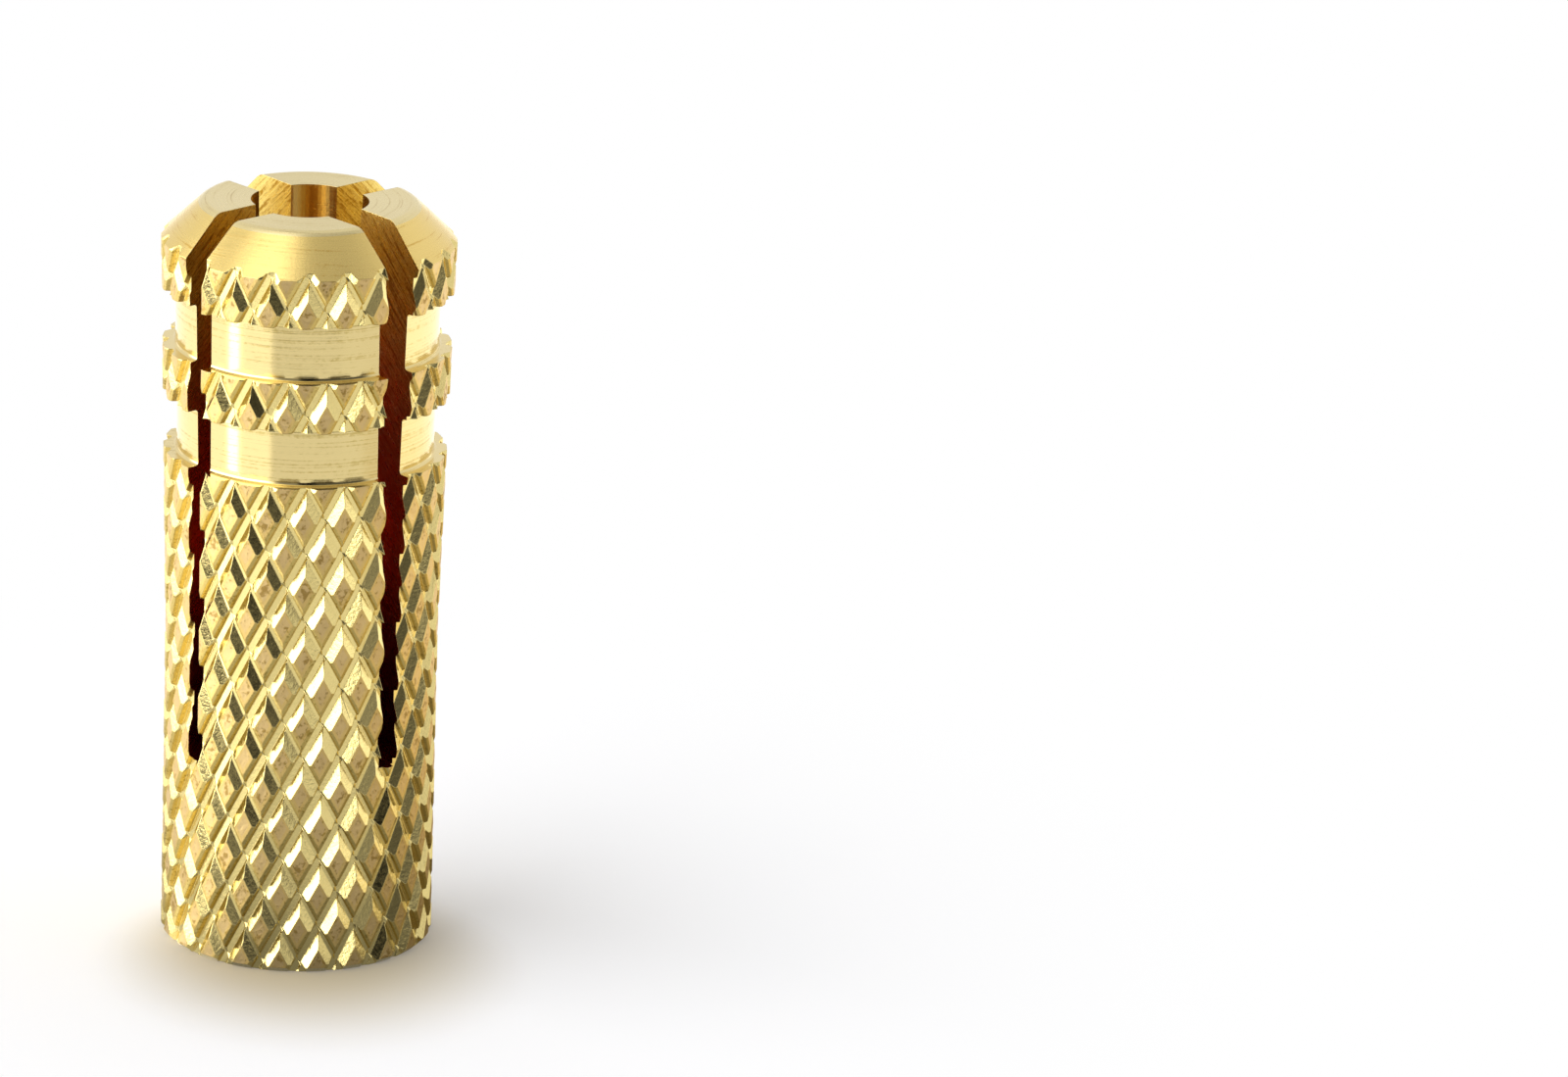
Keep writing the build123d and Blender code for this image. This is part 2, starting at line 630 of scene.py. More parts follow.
@dataclass
class Sleeve:
    """The finished sleeve as one closed mesh.

    Args:
        sizes: The sleeve's sizes.
        knurl: The knurl's sizes.
        crease: Angle between two faces, in degrees, from which their edge is sharp.
    """

    sizes: SleeveSizes
    knurl: KnurlSizes
    crease: float = 14.0

    def build(self) -> bpy.types.Object:
        """Machine the bar, spread its fingers and bring it to metres.

        Returns:
            The finished object, standing in the CAD frame.
        """
        mesh = self.machine()
        mesh.name = PIECE
        bm = bmesh.new()
        bm.from_mesh(mesh)
        bmesh.ops.remove_doubles(bm, verts=bm.verts[:], dist=CUT_MERGE)
        self.spread(bm)
        bmesh.ops.scale(bm, vec=(MM, MM, MM), verts=bm.verts[:])
        bm.to_mesh(mesh)
        bm.free()
        mesh.polygons.foreach_set("use_smooth", [True] * len(mesh.polygons))
        mesh.set_sharp_from_angle(angle=math.radians(self.crease))
        sleeve = bpy.data.objects.new(PIECE, mesh)
        bpy.context.scene.collection.objects.link(sleeve)
        LOG.info("sleeve: %d vertices, %d faces", len(mesh.vertices), len(mesh.polygons))
        return sleeve

    def machine(self) -> bpy.types.Mesh:
        """Turn, bore, tap and saw the knurled bar.

        Returns:
            The cut mesh in millimetres, with its fingers straight.
        """
        bar = KnurledBar(self.sizes, self.knurl).build()
        tooling = Tooling(self.sizes)
        tools = [
            (Cut.KEEP_INSIDE, tooling.envelope()),
            (Cut.TAKE_AWAY, tooling.drill()),
            (Cut.TAKE_AWAY, tooling.tap()),
        ]
        tools += [(Cut.TAKE_AWAY, tooling.saw(cut)) for cut in self.sizes.saw_cuts]
        for cut, tool in tools:
            boolean = bar.modifiers.new(tool.name, "BOOLEAN")
            boolean.operation = cut.value
            boolean.object = tool
            boolean.solver = "MANIFOLD"
        bpy.context.view_layer.update()
        finished = bar.evaluated_get(bpy.context.evaluated_depsgraph_get())
        mesh = bpy.data.meshes.new_from_object(finished)
        for obj in [bar] + [tool for _, tool in tools]:
            bpy.data.meshes.remove(obj.data)
        return mesh

    def spread(self, bm: bmesh.types.BMesh) -> None:
        """Bend each of the four fingers outward over its free length.

        Args:
            bm: The cut mesh in millimetres, whose points are moved.
        """
        s = self.sizes
        fingers = []
        for angle, outward, sideways in s.finger_moves:
            ahead = Vector((math.cos(math.radians(angle)), math.sin(math.radians(angle)), 0))
            fingers.append((ahead, ahead * outward + Vector((-ahead.y, ahead.x, 0)) * sideways))
        for vert in bm.verts:
            if vert.co.z > s.splay_start:
                share = (vert.co.z - s.splay_start) / (s.length - s.splay_start)
                vert.co += max(fingers, key=lambda finger: finger[0].dot(vert.co))[1] * share


# ---------------------------------------------------------------- node helpers


class Graph:
    """A small helper that adds and links the nodes of one shader tree."""

    def __init__(self, tree: bpy.types.NodeTree) -> None:
        """Take over a node tree and clear it."""
        self.tree = tree
        tree.nodes.clear()

    def add(self, kind: str, **settings: object) -> bpy.types.Node:
        """Add a node and set its properties.

        Args:
            kind: The node's type.
            settings: Its properties by name.

        Returns:
            The node.
        """
        node = self.tree.nodes.new(kind)
        for name, value in settings.items():
            setattr(node, name, value)
        return node

    def put(self, value: Value | tuple[float, ...], socket: Socket) -> None:
        """Link a socket, or set a plain number, vector or colour, on an input.

        Args:
            value: What the input gets.
            socket: The input.
        """
        if isinstance(value, Socket):
            self.tree.links.new(value, socket)
        elif socket.type == "RGBA":
            socket.default_value = (*value, 1.0)
        else:
            socket.default_value = value

    def feed(self, node: bpy.types.Node, *values: Value | tuple[float, ...]) -> Socket:
        """Give a node its first inputs in order.

        Args:
            node: The node.
            values: What its inputs get.

        Returns:
            The node's first output.
        """
        for value, socket in zip(values, node.inputs):
            self.put(value, socket)
        return node.outputs[0]

    def math(self, operation: str, a: Value, b: Value = 0.0) -> Socket:
        """Do one step of arithmetic, by its name in the Math node."""
        return self.feed(self.add("ShaderNodeMath", operation=operation), a, b)

    def weigh(self, a: Value, a_weight: float, b: Value, b_weight: float) -> Socket:
        """Add two values, each times its weight."""
        return self.math("ADD", self.math("MULTIPLY", a, a_weight), self.math("MULTIPLY", b, b_weight))

    def ramp(self, value: Value, low: float, high: float, start: Value = 0.0, end: Value = 1.0) -> Socket:
        """Go smoothly from start to end while a value passes from low to high, upward or downward."""
        node = self.add("ShaderNodeMapRange", interpolation_type="SMOOTHSTEP")
        return self.feed(node, value, low, high, start, end)

    def window(self, value: Value, limits: Span, soft: float) -> Socket:
        """Give one between two limits, and nothing outside them.

        Args:
            value: The value that is looked at.
            limits: The two limits, the lower one first.
            soft: How far the change spreads to either side of a limit.

        Returns:
            A share from nothing to one.
        """
        low, high = limits
        rise = self.ramp(value, low - soft, low + soft)
        fall = self.ramp(value, high - soft, high + soft, 1.0, 0.0)
        return self.math("MULTIPLY", rise, fall)

    def mix(self, factor: Value, a: Socket | Colour, b: Socket | Colour) -> Socket:
        """Mix two colours.

        Args:
            factor: How much there is of the second, from nothing to one.
            a: The first colour.
            b: The second colour.

        Returns:
            The mixed colour.
        """
        node = self.add("ShaderNodeMix", data_type="RGBA")
        self.put(factor, node.inputs[0])
        self.put(a, node.inputs[6])
        self.put(b, node.inputs[7])
        return node.outputs[2]

    def noise(self, place: Socket, scale: float, detail: float, roughness: float) -> Socket:
        """Give a random value that changes smoothly from place to place.

        Args:
            place: The place.
            scale: How many bumps there are in one unit of the place.
            detail: How many finer layers are added.
            roughness: How strong the finer layers are.

        Returns:
            A value from nothing to one.
        """
        node = self.add("ShaderNodeTexNoise")
        self.put(place, node.inputs["Vector"])
        self.put(scale, node.inputs["Scale"])
        self.put(detail, node.inputs["Detail"])
        self.put(roughness, node.inputs["Roughness"])
        return node.outputs[0]

    def stretch(self, place: Socket, scale: tuple[float, float, float]) -> Socket:
        """Scale each coordinate of a place."""
        return self.feed(self.add("ShaderNodeVectorMath", operation="MULTIPLY"), place, scale)

    def parts(self, place: Socket) -> tuple[Socket, ...]:
        """Split a place into its coordinates.

        Args:
            place: The place.

        Returns:
            X, Y and Z.
        """
        node = self.add("ShaderNodeSeparateXYZ")
        self.put(place, node.inputs[0])
        return tuple(node.outputs)

    def join(self, x: Value, y: Value, z: Value) -> Socket:
        """Make a place from three coordinates."""
        return self.feed(self.add("ShaderNodeCombineXYZ"), x, y, z)

    def radius(self, x: Value, y: Value) -> Socket:
        """Give the distance from the Z axis."""
        return self.math("SQRT", self.math("ADD", self.math("MULTIPLY", x, x), self.math("MULTIPLY", y, y)))

    def azimuth(self, x: Value, y: Value) -> Socket:
        """Give the direction from the Z axis, in degrees from -Y towards +X."""
        return self.math("DEGREES", self.math("ARCTAN2", x, self.math("MULTIPLY", y, -1.0)))

    def emission(self, colour: Socket | Colour, strength: Value) -> Socket:
        """Add a glowing surface of a colour and strength."""
        return self.feed(self.add("ShaderNodeEmission"), colour, strength)

    def matt(self, colour: Socket | Colour) -> Socket:
        """Add a matt surface of a colour."""
        return self.feed(self.add("ShaderNodeBsdfDiffuse"), colour)

    def choose(self, factor: Value, a: Socket, b: Socket) -> Socket:
        """Mix two surfaces, by how much there is of the second."""
        return self.feed(self.add("ShaderNodeMixShader"), factor, a, b)

    def end(self, kind: str, surface: Socket) -> None:
        """Link the finished surface to an output node of a kind."""
        self.put(surface, self.add(kind).inputs[0])


# ---------------------------------------------------------------- finishes


class Marks(Enum):
    """The way the tool's marks run over a finish."""

    NONE = 0  # none show
    AROUND = 1  # round the axis, on bands and in the bore
    RINGS = 2  # in rings about the axis, on a faced end or a chamfer
    SAW = 3  # in slanting arcs over the walls of a saw cut


@dataclass(frozen=True)
class Lines:
    """How closely the lines of a tool's marks lie, in lines to the millimetre.

    Args:
        around: Of marks round the axis, counted along X, Y and Z.
        rings: Of rings, counted outward from the axis and along X and Y.
        saw_across: Of saw marks across their slant, counted outward and upward.
        saw_along: Of saw marks along it, counted upward and outward.
    """

    around: tuple[float, float, float] = (0.05, 0.05, 9.0)
    rings: tuple[float, float, float] = (14.0, 0.25, 0.25)
    saw_across: Span = (6.0, 9.0)
    saw_along: Span = (0.6, 0.4)


@dataclass(frozen=True)
class PatinaAndDepthShade:
    """How the brass ages, with its lengths and heights in millimetres.

    The patches are a mix of the fine grain, the broad clouds and the tool's marks, and where they are
    strong the metal is dull and rough. Down in the slots and the bore, painted shade darkens the colour.

    Args:
        clouds: Clouds in one millimetre.
        cloud_detail: Finer layers in the clouds, and in the grain.
        cloud_roughness: Strength of those layers.
        line_detail: Finer layers in the tool's marks.
        line_roughness: Strength of those layers.
        plain_mix: Weights of grain and clouds where there are no marks.
        marked_mix: Weights of those patches and of the marks where there are.
        dull_from: The patches' value at which clean metal turns dull, and how far a full stain
            lowers it.
        dull_soft: How far the change from clean to dull spreads.
        rough_between: The patches' values that give the least and the greatest roughness.
        drift: How far the clouds shift the heights at which the painted shade begins.
        shade_heights: Heights at which the painted shade down in the slots begins and is full.
        red_shade_heights: The same for the painted dark red shade under it.
        red_shade_share: How much of it is red at the full.
        red: The dark red of the painted shade in the bore's depths.
    """

    clouds: float = 1.3
    cloud_detail: float = 3.0
    cloud_roughness: float = 0.6
    line_detail: float = 4.0
    line_roughness: float = 0.7
    plain_mix: Span = (0.75, 0.45)
    marked_mix: Span = (0.3, 0.72)
    dull_from: Span = (0.95, 0.6)
    dull_soft: float = 0.1
    rough_between: Span = (0.35, 0.85)
    drift: float = 3.0
    shade_heights: Span = (21.5, 15.5)
    red_shade_heights: Span = (13.5, 9.0)
    red_shade_share: float = 0.8
    red: Colour = (0.26, 0.006, 0.012)


@dataclass(frozen=True)
class BrassLook:
    """How one finish of the brass looks.

    Args:
        colour: The clean metal.
        dull: The metal where it is stained or worn.
        stain: How much of it is dull, from nothing to one.
        roughness: The least and the greatest roughness.
        grain: Size of the grains of the surface in millimetres.
        grain_depth: Their depth in millimetres.
        marks: The way the tool's marks run.
        mark_depth: Their depth in millimetres.
        edge: Radius of the rounding at every edge, in millimetres.
        brushed: How far the gloss is drawn out across the marks, from nothing to one.
        depth_shade: The colour that painted shade darkens the metal to down inside the slots and the bore,
            where there is any.
        lines: How closely the tool's marks lie.
        patina_and_shade: How the brass ages and where painted shade darkens it, which is the same for every
            finish.
    """

    colour: Colour
    dull: Colour
    stain: float
    roughness: Span
    grain: float
    grain_depth: float
    marks: Marks = Marks.NONE
    mark_depth: float = 0.0
    edge: float = 0.02
    brushed: float = 0.0
    depth_shade: Colour | None = None
    lines: Lines = Lines()
    patina_and_shade: PatinaAndDepthShade = PatinaAndDepthShade()

    def build(self, name: str) -> bpy.types.Material:
        """Create the material.

        Args:
            name: The material's name.

        Returns:
            The finished material.
        """
        material = bpy.data.materials.new(name)
        material.use_nodes = True
        g = Graph(material.node_tree)
        p = self.patina_and_shade
        place = g.stretch(g.add("ShaderNodeTexCoord").outputs["Object"], (1 / MM, 1 / MM, 1 / MM))
        grain = g.noise(place, 1 / self.grain, p.cloud_detail, p.cloud_roughness)
        cloud = g.noise(place, p.clouds, p.cloud_detail, p.cloud_roughness)
        height = g.math("MULTIPLY", grain, self.grain_depth)
        patches = g.weigh(grain, p.plain_mix[0], cloud, p.plain_mix[1])
        if self.marks is not Marks.NONE:
            scratches = g.noise(self.along_marks(g, place), 1.0, p.line_detail, p.line_roughness)
            height = g.math("ADD", height, g.math("MULTIPLY", scratches, self.mark_depth))
            patches = g.weigh(patches, p.marked_mix[0], scratches, p.marked_mix[1])
        shader = g.add("ShaderNodeBsdfPrincipled")
        shader.inputs["Metallic"].default_value = 1.0
        g.put(self.tint(g, place, cloud, patches), shader.inputs["Base Color"])
        g.put(g.ramp(patches, *p.rough_between, *self.roughness), shader.inputs["Roughness"])
        if self.brushed:
            shader.inputs["Anisotropic"].default_value = self.brushed
            shader.inputs["Anisotropic Rotation"].default_value = QUARTER_TURN
            tangent = g.add("ShaderNodeTangent", direction_type="RADIAL", axis="Z")
            g.put(tangent.outputs[0], shader.inputs["Tangent"])
        g.put(self.relief(g, height), shader.inputs["Normal"])
        g.end("ShaderNodeOutputMaterial", shader.outputs[0])
        return material

    def tint(self, g: Graph, place: Socket, cloud: Socket, patches: Socket) -> Socket:
        """Give the colour of the metal, clean or dull, and darkened by painted shade down in the slots and
        the bore.

        Args:
            g: The material's nodes.
            place: The place on the sleeve in millimetres.
            cloud: The broad clouds.
            patches: Where the metal is dull.

        Returns:
            The colour.
        """
        p = self.patina_and_shade
        dull_from = p.dull_from[0] - self.stain * p.dull_from[1]
        colour = g.mix(g.ramp(patches, dull_from, dull_from + p.dull_soft), self.colour, self.dull)
        # Painted shade: lower down in the slots and the bore the colour darkens, and then turns dark red
        if self.depth_shade:
            drift = g.math("ADD", g.parts(place)[2], g.math("MULTIPLY", cloud, p.drift))
            colour = g.mix(g.ramp(drift, *p.shade_heights), colour, self.depth_shade)
            colour = g.mix(g.ramp(drift, *p.red_shade_heights, 0.0, p.red_shade_share), colour, p.red)
        return colour

    def relief(self, g: Graph, height: Socket) -> Socket:
        """Bend the normal for the grain and the marks, over softly rounded edges.

        Args:
            g: The material's nodes.
            height: Height of the grain and the marks in millimetres.

        Returns:
            The normal.
        """
        bump = g.add("ShaderNodeBump")
        g.put(1.0, bump.inputs["Strength"])
        g.put(MM, bump.inputs["Distance"])
        g.put(height, bump.inputs["Height"])
        bevel = g.add("ShaderNodeBevel", samples=BEVEL_SAMPLES)
        g.put(self.edge * MM, bevel.inputs["Radius"])
        g.put(bevel.outputs[0], bump.inputs["Normal"])
        return bump.outputs[0]

    def along_marks(self, g: Graph, place: Socket) -> Socket:
        """Stretch a place so that noise on it runs long one way and narrow the other.

        Args:
            g: The material's nodes.
            place: The place on the sleeve in millimetres.

        Returns:
            The stretched place.
        """
        if self.marks is Marks.AROUND:
            return g.stretch(place, self.lines.around)
        x, y, z = g.parts(place)
        if self.marks is Marks.RINGS:
            return g.stretch(g.join(g.radius(x, y), x, y), self.lines.rings)
        reach = g.math("ADD", g.math("ABSOLUTE", x), g.math("ABSOLUTE", y))
        outward, upward = self.lines.saw_across
        across = g.weigh(reach, outward, z, upward)
        return g.stretch(g.join(across, z, reach), (1.0, *self.lines.saw_along))


BRASS_LOOKS = {
    Finish.FLANK: BrassLook(
        colour=(0.9, 0.73, 0.29),
        dull=(0.75, 0.57, 0.17),
        stain=0.35,
        roughness=(0.12, 0.26),
        grain=0.1,
        grain_depth=0.007,
        edge=0.04,
    ),
    # Painted shade: the flanks' brass, darker and duller, for the tooth sides that face the floor
    Finish.LOWER: BrassLook(
        colour=(0.72, 0.54, 0.17),
        dull=(0.46, 0.32, 0.07),
        stain=0.5,
        roughness=(0.24, 0.4),
        grain=0.1,
        grain_depth=0.008,
        edge=0.04,
    ),
    Finish.CREST: BrassLook(
        colour=(0.8, 0.57, 0.2),
        dull=(0.56, 0.37, 0.09),
        stain=0.5,
        roughness=(0.36, 0.52),
        grain=0.12,
        grain_depth=0.012,
        edge=0.04,
    ),
    Finish.SKIN: BrassLook(
        colour=(0.78, 0.56, 0.24),
        dull=(0.48, 0.31, 0.09),
        stain=0.55,
        roughness=(0.36, 0.55),
        grain=0.16,
        grain_depth=0.022,
        edge=0.04,
    ),
    Finish.TURNED: BrassLook(
        colour=(0.86, 0.69, 0.31),
        dull=(0.66, 0.5, 0.17),
        stain=0.65,
        roughness=(0.1, 0.22),
        grain=0.12,
        grain_depth=0.0006,
        marks=Marks.AROUND,
        mark_depth=0.006,
        brushed=0.6,
    ),
    Finish.CHAMFER: BrassLook(
        colour=(0.9, 0.67, 0.23),
        dull=(0.68, 0.42, 0.09),
        stain=0.6,
        roughness=(0.22, 0.36),
        grain=0.06,
        grain_depth=0.002,
        marks=Marks.RINGS,
        mark_depth=0.005,
        edge=0.05,
        brushed=0.6,
    ),
    Finish.FACED: BrassLook(
        colour=(0.82, 0.68, 0.34),
        dull=(0.62, 0.47, 0.19),
        stain=0.6,
        roughness=(0.24, 0.38),
        grain=0.06,
        grain_depth=0.002,
        marks=Marks.RINGS,
        mark_depth=0.004,
        edge=0.05,
        brushed=0.6,
    ),
    Finish.BORED: BrassLook(
        colour=(0.6, 0.37, 0.09),
        dull=(0.34, 0.14, 0.02),
        stain=0.55,
        roughness=(0.18, 0.35),
        grain=0.1,
        grain_depth=0.003,
        marks=Marks.AROUND,
        mark_depth=0.002,
        # Painted shade: the colour that the bore darkens to lower down
        depth_shade=(0.3, 0.06, 0.015),
    ),
    Finish.SAWN: BrassLook(
        colour=(0.86, 0.66, 0.2),
        dull=(0.46, 0.25, 0.02),
        stain=0.72,
        roughness=(0.24, 0.42),
        grain=0.08,
        grain_depth=0.003,
        marks=Marks.SAW,
        mark_depth=0.012,
        # Painted shade: the colour that the slots' walls darken to lower down
        depth_shade=(0.72, 0.16, 0.015),
    ),
}


# ---------------------------------------------------------------- the studio


@dataclass(frozen=True)
class View:
    """The camera: where it aims, from where, and how it is rolled.

    Args:
        target: The point that it aims at, in millimetres, before the turn.
        distance: From there to the camera, in millimetres.
        elevation: Its height above the target, in degrees.
        turn: How far camera and target are turned about the Z axis, in degrees.
        roll: How far the camera is rolled about its line of sight, in degrees.
        lens: Focal length in millimetres.
        clip: The nearest and the farthest that it sees, in metres.
    """

    target: tuple[float, float, float] = (13.78, 0.0, 12.35)
    distance: float = 301.5
    elevation: float = 18.64
    turn: float = 1.4
    roll: float = 1.98
    lens: float = 241.5
    clip: Span = (0.01, 20.0)

    def build(self) -> bpy.types.Object:
        """Create the camera and make it the scene's.

        Returns:
            The camera.
        """
        pitch = math.radians(self.elevation)
        roll = math.radians(self.roll)
        right, back = Vector((1, 0, 0)), Vector((0, -math.cos(pitch), math.sin(pitch)))
        up = back.cross(right)
        across = right * math.cos(roll) + up * math.sin(roll)
        rise = up * math.cos(roll) - right * math.sin(roll)
        aim = Matrix((across, rise, back)).transposed().to_4x4()
        stand = Matrix.Translation((Vector(self.target) + back * self.distance) * MM)
        data = bpy.data.cameras.new("camera")
        data.lens = self.lens
        data.clip_start, data.clip_end = self.clip
        camera = bpy.data.objects.new("camera", data)
        camera.matrix_world = Matrix.Rotation(math.radians(self.turn), 4, "Z") @ stand @ aim
        bpy.context.scene.collection.objects.link(camera)
        bpy.context.scene.camera = camera
        LOG.info("camera: %.1f mm lens", data.lens)
        return camera


@dataclass(frozen=True)
class Zone:
    """A part of the surroundings, by its directions from the object and its brightness.

    Args:
        azimuths: Its two sides, in degrees from -Y, where the front of the object faces, towards +X.
        elevations: Its lower and upper limit, in degrees above level.
        soft: How far its edges spread either way, in degrees.
        level: Its brightness.
    """

    azimuths: Span
    elevations: Span
    soft: float
    level: float


@dataclass(frozen=True)
class Room:
    """The room that the metal mirrors, with a window at the front left and a dark front and right.

    Args:
        level: Brightness where there is no zone.
        zones: Its brighter and darker parts, each laid over those before it.
    """

    level: float = 0.8
    zones: tuple[Zone, ...] = (
        Zone((-185.0, -105.0), (-5.0, 45.0), 12.0, 0.9),
        Zone((105.0, 185.0), (-5.0, 45.0), 12.0, 0.9),
        Zone((10.0, 130.0), (54.0, 95.0), 12.0, 0.55),
        Zone((-98.0, -25.0), (54.0, 84.0), 10.0, 1.9),
        Zone((-112.0, -27.0), (-3.0, 34.0), 5.0, 4.0),
        Zone((-21.0, -2.0), (8.0, 54.0), 4.0, 0.28),
        Zone((-2.0, 66.0), (8.0, 54.0), 5.0, 0.09),
        Zone((-50.0, 38.0), (-12.0, 8.5), 4.0, 0.015),
        Zone((0.0, 16.0), (8.0, 54.0), 4.0, 0.0),
    )

    def build(self) -> bpy.types.World:
        """Create the world: the room to the metal, and plain white to the camera.

        Returns:
            The world, which is the scene's.
        """
        world = bpy.data.worlds.new("studio")
        world.use_nodes = True
        g = Graph(world.node_tree)
        x, y, z = g.parts(g.add("ShaderNodeTexCoord").outputs["Generated"])
        azimuth = g.azimuth(x, y)
        elevation = g.math("DEGREES", g.math("ARCSINE", z))
        level = self.level
        for zone in self.zones:
            sides = g.window(azimuth, zone.azimuths, zone.soft)
            inside = g.math("MULTIPLY", sides, g.window(elevation, zone.elevations, zone.soft))
            rest = g.math("MULTIPLY", level, g.math("SUBTRACT", 1.0, inside))
            level = g.math("ADD", rest, g.math("MULTIPLY", inside, zone.level))
        seen = g.add("ShaderNodeLightPath").outputs["Is Camera Ray"]
        mirrored = g.math("MULTIPLY", level, g.math("SUBTRACT", 1.0, seen))
        light = g.feed(g.add("ShaderNodeBackground"), WHITE, g.math("ADD", mirrored, seen))
        g.end("ShaderNodeOutputWorld", light)
        bpy.context.scene.world = world
        LOG.info("room: %d zones", len(self.zones))
        return world


@dataclass(frozen=True)
class Sector:
    """A part of the floor, by its directions and distances from the object.

    Args:
        azimuths: Its two sides, in degrees from -Y towards +X.
        soft: How far its sides spread either way, in degrees.
        reach: Distances in metres at which it begins and is full, outward or inward, where it has them.
    """

    azimuths: Span
    soft: float
    reach: Span | None = None

    def share(self, g: Graph, azimuth: Socket, away: Socket) -> Socket:
        """Tell how far a spot on the floor is in the sector, from nothing to one."""
        sides = g.window(azimuth, self.azimuths, self.soft)
        return g.math("MULTIPLY", sides, g.ramp(away, *self.reach)) if self.reach else sides


# Painted reflection: the floor that the metal sees is a glow with painted shade round the foot
@dataclass(frozen=True)
class MirroredFloor:
    """How the floor looks in the metal: bright, but dimmer in front and shaded round the foot.

    Args:
        level: Its brightness in the open.
        front: The dimmer part, in front of the object and to its right.
        front_level: The brightness there.
        stripe: A bright stripe on the left.
        stripe_level: What the stripe adds.
        foot: Distances in metres between which the painted shade round the foot ends.
        foot_shares: The light that is left in that shade, round the object and on the left.
        left: Where the foot's shade is weaker.
        right: A warm, dimmer patch of painted light near the object on its right.
        right_share: The light that is left there.
        right_colour: Its colour.
        far: A painted dark part far in front.
        far_share: The light that is left there.
    """

    level: float = 1.36
    front: Sector = Sector((-25.0, 80.0), 1.5, (0.012, 0.016))
    front_level: float = 0.86
    stripe: Sector = Sector((-68.0, -57.0), 2.0)
    stripe_level: float = 2.2
    foot: Span = (0.004, 0.026)
    foot_shares: Span = (0.15, 0.45)
    left: Sector = Sector((-178.0, -30.0), 10.0)
    right: Sector = Sector((62.0, 150.0), 10.0, (0.046, 0.036))
    right_share: float = 0.8
    right_colour: Colour = (1.0, 0.84, 0.52)
    far: Sector = Sector((-50.0, 38.0), 4.0, (0.07, 0.1))
    far_share: float = 0.1

    def build(self, g: Graph, azimuth: Socket, away: Socket) -> Socket:
        """Add the surface that the metal mirrors.

        Args:
            g: The floor's nodes.
            azimuth: Direction of a spot on the floor from the object.
            away: Its distance.

        Returns:
            The surface.
        """
        front, stripe, left, right, far = (
            sector.share(g, azimuth, away)
            for sector in (self.front, self.stripe, self.left, self.right, self.far)
        )
        open_floor = g.ramp(front, 0.0, 1.0, self.level, self.front_level)
        lit = g.math("ADD", open_floor, g.math("MULTIPLY", stripe, self.stripe_level))
        shade = g.ramp(left, 0.0, 1.0, *self.foot_shares)
        lit = g.math("MULTIPLY", lit, g.ramp(away, *self.foot, shade, 1.0))
        lit = g.math("MULTIPLY", lit, g.ramp(right, 0.0, 1.0, 1.0, self.right_share))
        lit = g.math("MULTIPLY", lit, g.ramp(far, 0.0, 1.0, 1.0, self.far_share))
        return g.emission(g.mix(right, WHITE, self.right_colour), lit)


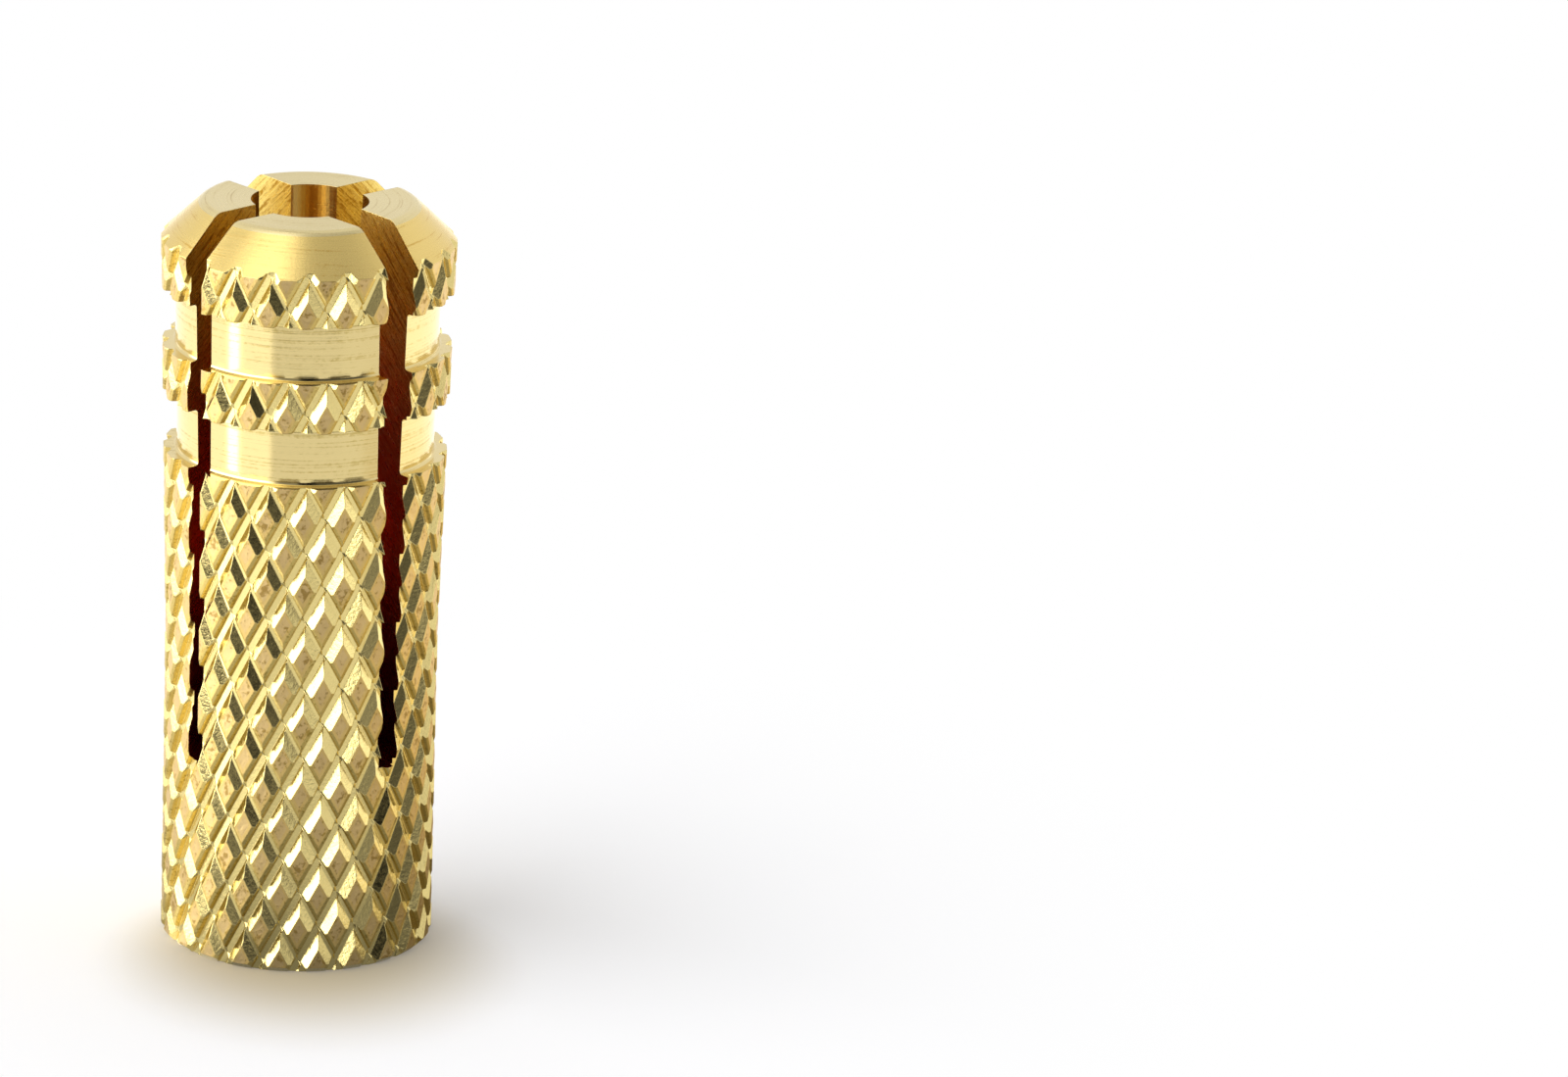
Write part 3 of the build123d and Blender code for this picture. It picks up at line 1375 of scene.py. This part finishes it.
@dataclass(frozen=True)
class Floor:
    """A wide sheet of matt white paper that the object stands on.

    Args:
        half_width: Half its width, in metres.
        paper: Its colour to the light that it throws back.
        near: Its colour to the camera, round the foot.
        painted_shadow: Its colour in the painted shadow right at the foot.
        painted_shadow_reach: Distances in metres between which that painted shadow ends.
        painted_shadow_lean: How much further off a spot counts as, for its place along X and along Y.
        glow: Light that is added to the paper round the foot.
        white_from: Distances in metres between which it turns plain white to the camera.
        mirrored: How it looks in the metal, as a painted glow.
    """

    half_width: float = 1.5
    paper: Colour = (0.9, 0.9, 0.9)
    near: Colour = (0.83, 0.83, 0.85)
    painted_shadow: Colour = (0.38, 0.29, 0.11)
    painted_shadow_reach: Span = (0.0018, 0.006)
    painted_shadow_lean: Span = (-0.1, 0.45)
    glow: float = 0.19
    white_from: Span = (0.006, 0.03)
    mirrored: MirroredFloor = MirroredFloor()

    def shown(self, g: Graph, x: Socket, y: Socket, away: Socket) -> Socket:
        """Add the surface that the camera sees: a painted shadow round the foot, and plain white beyond.

        Args:
            g: The floor's nodes.
            x: Place of a spot on the floor along X.
            y: Its place along Y.
            away: Its distance from the object.

        Returns:
            The surface.
        """
        # Painted shadow: the paper darkens to a warm brown towards the foot, further in front and to the
        # right
        lean = g.weigh(y, self.painted_shadow_lean[1], x, self.painted_shadow_lean[0])
        out_of_painted_shadow = g.ramp(g.math("ADD", away, lean), *self.painted_shadow_reach)
        shaded = g.matt(g.mix(out_of_painted_shadow, self.painted_shadow, self.near))
        lifted = g.feed(g.add("ShaderNodeAddShader"), shaded, g.emission(WHITE, self.glow))
        return g.choose(g.ramp(away, *self.white_from), lifted, g.emission(WHITE, 1.0))

    def material(self) -> bpy.types.Material:
        """Create the paper: one surface to the camera, one in the metal and one to other light.

        Returns:
            The finished material.
        """
        material = bpy.data.materials.new("white_floor")
        material.use_nodes = True
        g = Graph(material.node_tree)
        x, y, _ = g.parts(g.add("ShaderNodeTexCoord").outputs["Object"])
        azimuth = g.azimuth(x, y)
        away = g.radius(x, y)
        ray = g.add("ShaderNodeLightPath").outputs
        # Painted reflection: glossy rays see the glowing floor with its painted shade, not the lit paper
        surface = g.choose(ray["Is Glossy Ray"], g.matt(self.paper), self.mirrored.build(g, azimuth, away))
        surface = g.choose(ray["Is Camera Ray"], surface, self.shown(g, x, y, away))
        g.end("ShaderNodeOutputMaterial", surface)
        return material

    def build(self) -> bpy.types.Object:
        """Lay the floor under the object.

        Returns:
            The floor.
        """
        bm = bmesh.new()
        bmesh.ops.create_grid(bm, x_segments=2, y_segments=2, size=self.half_width)
        mesh = bpy.data.meshes.new("floor")
        bm.to_mesh(mesh)
        bm.free()
        mesh.materials.append(self.material())
        floor = bpy.data.objects.new("floor", mesh)
        bpy.context.scene.collection.objects.link(floor)
        LOG.info("floor: %.1f m wide", 2 * self.half_width)
        return floor


def main() -> None:
    """Build the scene, piece by piece."""
    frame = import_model()
    LOG.info("frame: %s", ", ".join(frame["nodes"]))
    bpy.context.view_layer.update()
    for finish, look in BRASS_LOOKS.items():
        look.build(finish.name.lower())
        LOG.info("finish: %s", finish.name.lower())
    sleeve = Sleeve(SleeveSizes(), KnurlSizes()).build()
    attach(sleeve, "root")
    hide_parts(NODE)
    Room().build()
    Floor().build()
    View().build()
    bpy.context.scene.view_settings.view_transform = "Standard"


if __name__ == "__main__":
    main()
